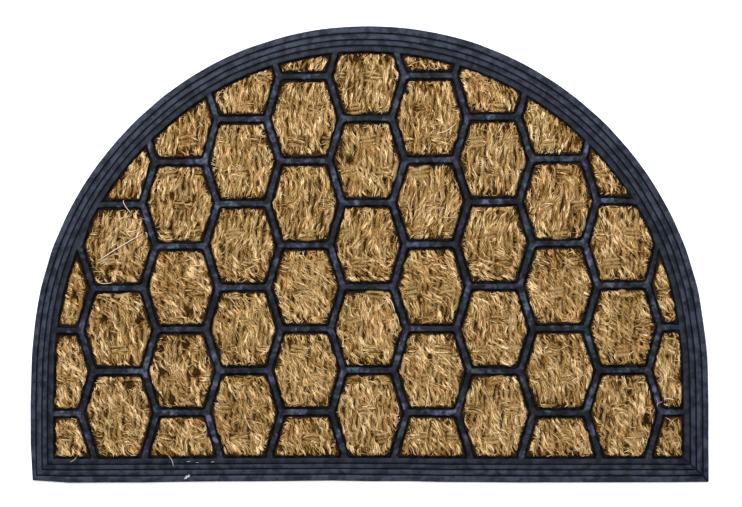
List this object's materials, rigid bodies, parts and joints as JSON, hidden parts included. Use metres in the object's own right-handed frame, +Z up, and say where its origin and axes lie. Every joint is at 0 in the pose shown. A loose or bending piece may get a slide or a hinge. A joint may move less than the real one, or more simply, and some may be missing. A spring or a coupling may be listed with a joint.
{
  "type": "coir doormat",
  "caption": "Flat half-round doormat of woven coir in a black rubber moulding with a ramped, grooved border and a honeycomb of low ribs, for wiping shoes at a door.",
  "frame": {"origin": "centre of the mat's footprint, on its underside", "axes": "+X along the straight edge, +Y from the straight edge towards the round one, +Z up out of the walked-on face"},
  "size_m": [0.6, 0.404, 0.0091],
  "materials": {
    "rubber": "satin black moulded rubber with a slight blue cast",
    "coir": "coarse natural coconut fibre, woven in blocks of spun yarns"
  },
  "bodies": {
    "root": {"rubber_moulding": "rubber", "coir_panel": "coir"}
  },
  "joints": []
}
